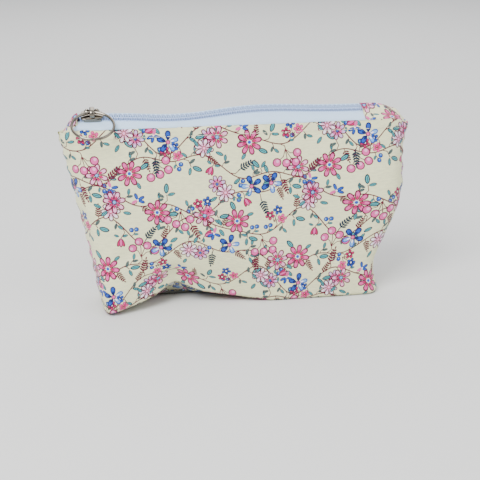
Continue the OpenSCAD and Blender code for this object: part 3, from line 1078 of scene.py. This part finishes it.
class Shading:
    """A new material, with short ways to add nodes before its Principled shader."""

    def __init__(self, name):
        self.material = bpy.data.materials.new(name)
        self.material.use_nodes = True
        self.nodes, self.links = self.material.node_tree.nodes, self.material.node_tree.links
        self.nodes.clear()
        output = self.nodes.new("ShaderNodeOutputMaterial")
        self.shader = self.nodes.new("ShaderNodeBsdfPrincipled")
        self.links.new(self.shader.outputs["BSDF"], output.inputs["Surface"])

    def put(self, node, values):
        """Fill a node's inputs by name or place. Each value is another node's output, or a plain one."""
        for name, value in values.items():
            if isinstance(value, bpy.types.NodeSocket):
                self.links.new(value, node.inputs[name])
            else:
                node.inputs[name].default_value = value

    def add(self, kind, output, values):
        """One output of a new node with these inputs."""
        node = self.nodes.new(f"ShaderNode{kind}")
        self.put(node, values)
        return node.outputs[output]

    def maths(self, operation, *values):
        """A sum, product or other function of the values."""
        result = self.add("Math", 0, dict(enumerate(values)))
        result.node.operation = operation
        return result

    def noise(self, place, scale, detail=2.0):
        """A soft random value from 0 to 1 at each place."""
        return self.add("TexNoise", "Fac", {"Vector": place, "Scale": scale, "Detail": detail})

    def spread(self, value, low, high):
        """A value from 0 to 1, spread from low to high."""
        return self.add("MapRange", "Result", {"Value": value, "To Min": low, "To Max": high})

    def tint(self, colour, shade):
        """Make the base colour this colour, times a shade near 1."""
        grey = self.add("CombineColor", "Color", {0: shade, 1: shade, 2: shade})
        mix = self.nodes.new("ShaderNodeMix")
        mix.data_type = "RGBA"
        mix.blend_type = "MULTIPLY"
        self.put(mix, {"Factor": 1.0, "A": colour, "B": grey})
        self.put(self.shader, {"Base Color": mix.outputs["Result"]})

    def bump(self, height, strength, distance):
        """Raise the surface by a height from 0 to 1, times a distance in millimetres."""
        inputs = {"Height": height, "Strength": strength, "Distance": distance * MM}
        self.put(self.shader, {"Normal": self.add("Bump", "Normal", inputs)})


def woven_cloth(name, colour, pitch, depth, twill=0.0, sheen=0.2, roughness=0.85, contrast=0.12):
    """A woven material. colour is an ink's linear colour, or None to take the print's own colours.

    pitch is the thread spacing and depth the weave's height, in millimetres. twill slants the rows."""
    cloth = Shading(name)
    places = cloth.nodes.new("ShaderNodeUVMap")
    places.uv_map = "Cut"
    flat = places.outputs["UV"]
    # Slubs are long thick places in a thread, and patches are where the whole cloth is a little darker.
    stretched = cloth.add("Mapping", "Vector", {"Vector": flat, "Scale": (0.12 / pitch, 0.5 / pitch, 1.0)})
    slubs = cloth.noise(stretched, 1.0, detail=3.0)
    patches = cloth.noise(flat, 0.06)

    parts = cloth.add("SeparateXYZ", "X", {"Vector": flat}).node.outputs
    across, along = (cloth.maths("MULTIPLY", parts[axis], math.pi / pitch) for axis in "XY")
    slanted = cloth.maths("MULTIPLY_ADD", along, twill, across)
    waves = [cloth.maths("SINE", value) for value in (slanted, along)]
    threads = cloth.maths("ABSOLUTE", cloth.maths("MULTIPLY", *waves))
    cloth.bump(cloth.maths("MULTIPLY_ADD", slubs, 0.8, threads), 0.6, depth)

    shade = cloth.maths("MULTIPLY_ADD", slubs, contrast, 1.0 - 0.82 * contrast)
    shade = cloth.maths("MULTIPLY_ADD", patches, 0.25 * contrast, shade)
    # The weave is painted lighter where its threads stand high and darker in the hollows between them:
    # painted shade of the weave, on top of its bump.
    shade = cloth.maths("MULTIPLY_ADD", threads, 0.5 * contrast, shade)
    if colour is None:
        ink = cloth.nodes.new("ShaderNodeAttribute")
        ink.attribute_name = "Ink"
        colour = ink.outputs["Color"]
    cloth.tint(colour, shade)
    cloth.put(cloth.shader, {"Roughness": roughness, "Specular IOR Level": 0.25})
    cloth.put(cloth.shader, {"Sheen Weight": sheen, "Sheen Roughness": 0.5})
    return cloth.material


def smooth_material(name, colour, contrast, scale, roughness, metallic=0.0, bump_depth=0.0):
    """A plain material whose colour and surface vary a little from place to place."""
    plain = Shading(name)
    place = plain.add("TexCoord", "Object", {})
    fine = plain.noise(place, scale, detail=3.0)
    plain.tint(colour, plain.spread(fine, 1.0 - contrast, 1.0 + contrast))
    rough = plain.spread(fine, 0.8 * roughness, 1.2 * roughness)
    plain.put(plain.shader, {"Roughness": rough, "Metallic": metallic})
    if bump_depth:
        plain.bump(fine, 0.5, bump_depth)
    return plain.material


# The material of each of the record's slots.
MATERIALS = {
    "printed_cotton": woven_cloth("Printed cotton", None, pitch=0.42, depth=0.12, contrast=0.4),
    "lining_cotton": woven_cloth("Lining cotton", srgb(226, 221, 206), pitch=0.42, depth=0.12),
    "interfacing": woven_cloth("Interfacing", srgb(232, 232, 228), pitch=0.9, depth=0.2, sheen=0.05),
    "zip_tape": woven_cloth(
        "Zip tape", srgb(200, 228, 255), pitch=0.5, depth=0.22, twill=1.0, sheen=0.1, roughness=0.7),
    "zip_coil": smooth_material(
        "Zip coil nylon", srgb(186, 210, 246), contrast=0.05, scale=900, roughness=0.38),
    "thread": smooth_material(
        "Cream thread", srgb(226, 218, 192), contrast=0.12, scale=3000, roughness=0.6, bump_depth=0.05),
    # The coil's sewing thread is darker and bluer than the tape: partly its own colour, partly painted
    # shade of the gaps along the coil.
    "white_thread": smooth_material(
        "Coil thread with painted shade", srgb(150, 170, 212), contrast=0.1, scale=3000, roughness=0.6, bump_depth=0.05),
    "nickel": smooth_material(
        "Bright nickel", srgb(132, 125, 114), contrast=0.03, scale=700, roughness=0.1, metallic=1.0,
        bump_depth=0.006),
}


# ---- The pouch's pieces ----

WALL_NAMES = {-1: "front", 1: "back"}
WALLS = {side: folded(soft_wall(side > 0), -side) for side in WALL_NAMES}
CUT_TOP = WALLS[-1].t[-1]
PRINT_STEP = 2.0
PLAIN_STEP = 5.0
# Each layer inside the printed cotton: how deep it lies, and how far short of the mouth it is cut.
INTERFACING_IN, INTERFACING_SHORT = 0.7, 1.5
LINING_IN, LINING_SHORT = 1.9, 1.0
# The panels and the tabs are cut from different places on the printed cloth.
FRONT_PRINT, BACK_PRINT, TAB_PRINT = (7.0, -12.0), (51.0, 23.0), (4.0, 10.0)
# The boxed corner takes up the wall's foot beyond this share of its half width.
CORNER_START = 0.84
# The thread of each inner seam lies this far in from the edge that it joins.
SIDE_SEAM_IN, CORNER_SEAM_IN, BOTTOM_SEAM_UP, CORNER_SEAM_UP = 2.4, 3.5, 1.3, 0.6
panels = {}


def sewn(node, path, outward, pitch):
    """A row of cream stitches along a path."""
    new_piece(node, "thread", *stitches(path, outward, THREAD, pitch, proud=0.12))


for side, wall in WALLS.items():
    start = FRONT_PRINT if side < 0 else BACK_PRINT
    layers = [
        ("outer", "printed_cotton", CUT_TOP, 0.0, start, PRINT_STEP),
        ("interfacing", "interfacing", WALL_H - INTERFACING_SHORT, INTERFACING_IN, None, PLAIN_STEP),
        ("lining", "lining_cotton", WALL_H - LINING_SHORT, LINING_IN, None, PLAIN_STEP),
    ]
    for kind, slot, top, inset, print_start, step in layers:
        node = f"{kind}_{WALL_NAMES[side]}"
        panels[node] = (cloth_panel(node, slot, wall, side, top, inset, print_start, step), top)

for side, wall in WALLS.items():
    s = np.arange(-PANEL_HALF + 4, PANEL_HALF - 4, 0.5)
    path, normals = carried(wall, s, np.full(len(s), WALL_H - STITCH_DROP))
    sewn(f"topstitch_{WALL_NAMES[side]}", path, -side * normals, STITCH_PITCH)


def seam_pieces():
    """The seams inside the pouch: the two sides, the two boxed corners and the middle of the base."""
    front_grid, back_grid = WALLS[-1].grid, WALLS[1].grid
    rim = WALL_T.searchsorted(FOOT_ARC)
    seams = {}
    for side, name, column in ((-1, "left", 0), (1, "right", -1)):
        to_middle = np.array([-side, 0.0, 0.0])
        edge = (front_grid[:, column] + back_grid[:, column]) / 2
        seams[f"side_seam_{name}"] = (edge[rim + 1:len(WALL_T) - 1] + SIDE_SEAM_IN * to_middle, to_middle)
        corner = side * WALL_S > CORNER_START * PANEL_HALF
        rims = [grid[0][corner][::-side] for grid in (front_grid, back_grid)]
        path = np.vstack([rims[0][::-1], rims[1]])
        path += CORNER_SEAM_IN * to_middle + (0, 0, CORNER_SEAM_UP)
        seams[f"corner_seam_{name}"] = (path, UP)
    x = np.linspace(3 - BASE_HALF, BASE_HALF - 3, 150)
    height = base_height(np.column_stack([x, 0 * x]), front_grid[0])
    seams["bottom_seam"] = (np.column_stack([x, 0 * x, height + BOTTOM_SEAM_UP]), UP)
    return seams


for name, (path, outward) in seam_pieces().items():
    sewn(name, path, outward, SEAM_PITCH)

for side, name in ((1, "front"), (-1, "back")):
    points, faces, places = zip_tape(side)
    tape = new_piece(f"zip_tape_{name}", "zip_tape", points, faces, flat_places=places)
    new_piece(f"zip_coil_{name}", "zip_coil", *coil(side))
    new_piece(f"coil_stitching_{name}", "white_thread", *coil_stitches(side))

for name, tab in TABS.items():
    away = 1 if tab.fold > tab.edge else -1
    carrier = tab_carrier(tab, away)
    piece = end_tab(f"zip_end_tab_{name}", carrier, away, TAB_PRINT)
    path, _ = tab_row(tab.edge + 3.0 * away, tab, 1)
    sewn(f"tab_stitching_{name}", path, ZIP_UP, SEAM_PITCH)

new_piece("slider_body", "nickel", *slider_body(), body="slider")
new_piece("slider_bridge", "nickel", *slider_bridge(), body="slider")
new_piece("pull_ring", "nickel", *pull_ring(), body="ring")


# ---- The floor, the lights and the camera ----

POUCH_MIDDLE = Vector((0, 0, 0.05))
FLOOR_WIDTH = 30.0


def add_floor():
    """A plain pale sheet of card."""
    bpy.ops.mesh.primitive_plane_add(size=FLOOR_WIDTH)
    floor = bpy.context.object
    floor.name = "floor"
    card = smooth_material("Pale card", srgb(214, 214, 212), contrast=0.01, scale=40, roughness=0.9)
    floor.data.materials.append(card)


def add_light(name, place, size, power):
    """A square area light at place, in metres, turned towards the middle of the pouch."""
    data = bpy.data.lights.new(name, "AREA")
    data.energy = power
    data.size = size
    light = bpy.data.objects.new(name, data)
    light.location = place
    light.rotation_euler = (POUCH_MIDDLE - Vector(place)).to_track_quat("-Z", "Y").to_euler()
    bpy.context.scene.collection.objects.link(light)


def add_world(strength):
    """A studio that is bright overhead and dark at the horizon, so that metal has edges to reflect."""
    world = bpy.data.worlds.new("Studio")
    world.use_nodes = True
    nodes, links = world.node_tree.nodes, world.node_tree.links
    back = nodes["Background"]
    place = nodes.new("ShaderNodeTexCoord")
    height = nodes.new("ShaderNodeSeparateXYZ")
    links.new(place.outputs["Generated"], height.inputs["Vector"])
    shades = nodes.new("ShaderNodeValToRGB")
    shades.color_ramp.elements[0].position = 0.2
    shades.color_ramp.elements[0].color = srgb(92, 94, 98)
    shades.color_ramp.elements[1].position = 0.6
    shades.color_ramp.elements[1].color = srgb(250, 251, 255)
    links.new(height.outputs["Z"], shades.inputs["Fac"])
    links.new(shades.outputs["Color"], back.inputs["Color"])
    back.inputs["Strength"].default_value = strength
    bpy.context.scene.world = world


def add_camera(azimuth, elevation, distance, aim, lens):
    """A camera round the point aim, in metres. Azimuth 0 looks along +Y, and the angles are in degrees."""
    turn, rise = math.radians(azimuth), math.radians(elevation)
    away = Vector((math.sin(turn) * math.cos(rise), -math.cos(turn) * math.cos(rise), math.sin(rise)))
    camera = bpy.data.objects.new("camera", bpy.data.cameras.new("camera"))
    camera.data.lens = lens
    camera.location = Vector(aim) + away * distance
    camera.rotation_euler = (-away).to_track_quat("-Z", "Y").to_euler()
    camera.data.clip_start = 0.01
    bpy.context.scene.collection.objects.link(camera)
    bpy.context.scene.camera = camera


add_floor()
add_world(strength=1.15)
add_light("key", place=(-0.5, -0.6, 0.9), size=0.6, power=19)
add_light("fill", place=(0.8, -0.5, 0.5), size=0.8, power=4)
add_light("back", place=(0.1, 0.8, 0.8), size=0.8, power=6)
add_camera(azimuth=-9, elevation=20.5, distance=0.589, aim=(0.0015, 0, 0.0297), lens=80)


# ---- The cloth's flat sizes ----

for name, (panel, top) in panels.items():
    kind, wall_name = name.split("_")
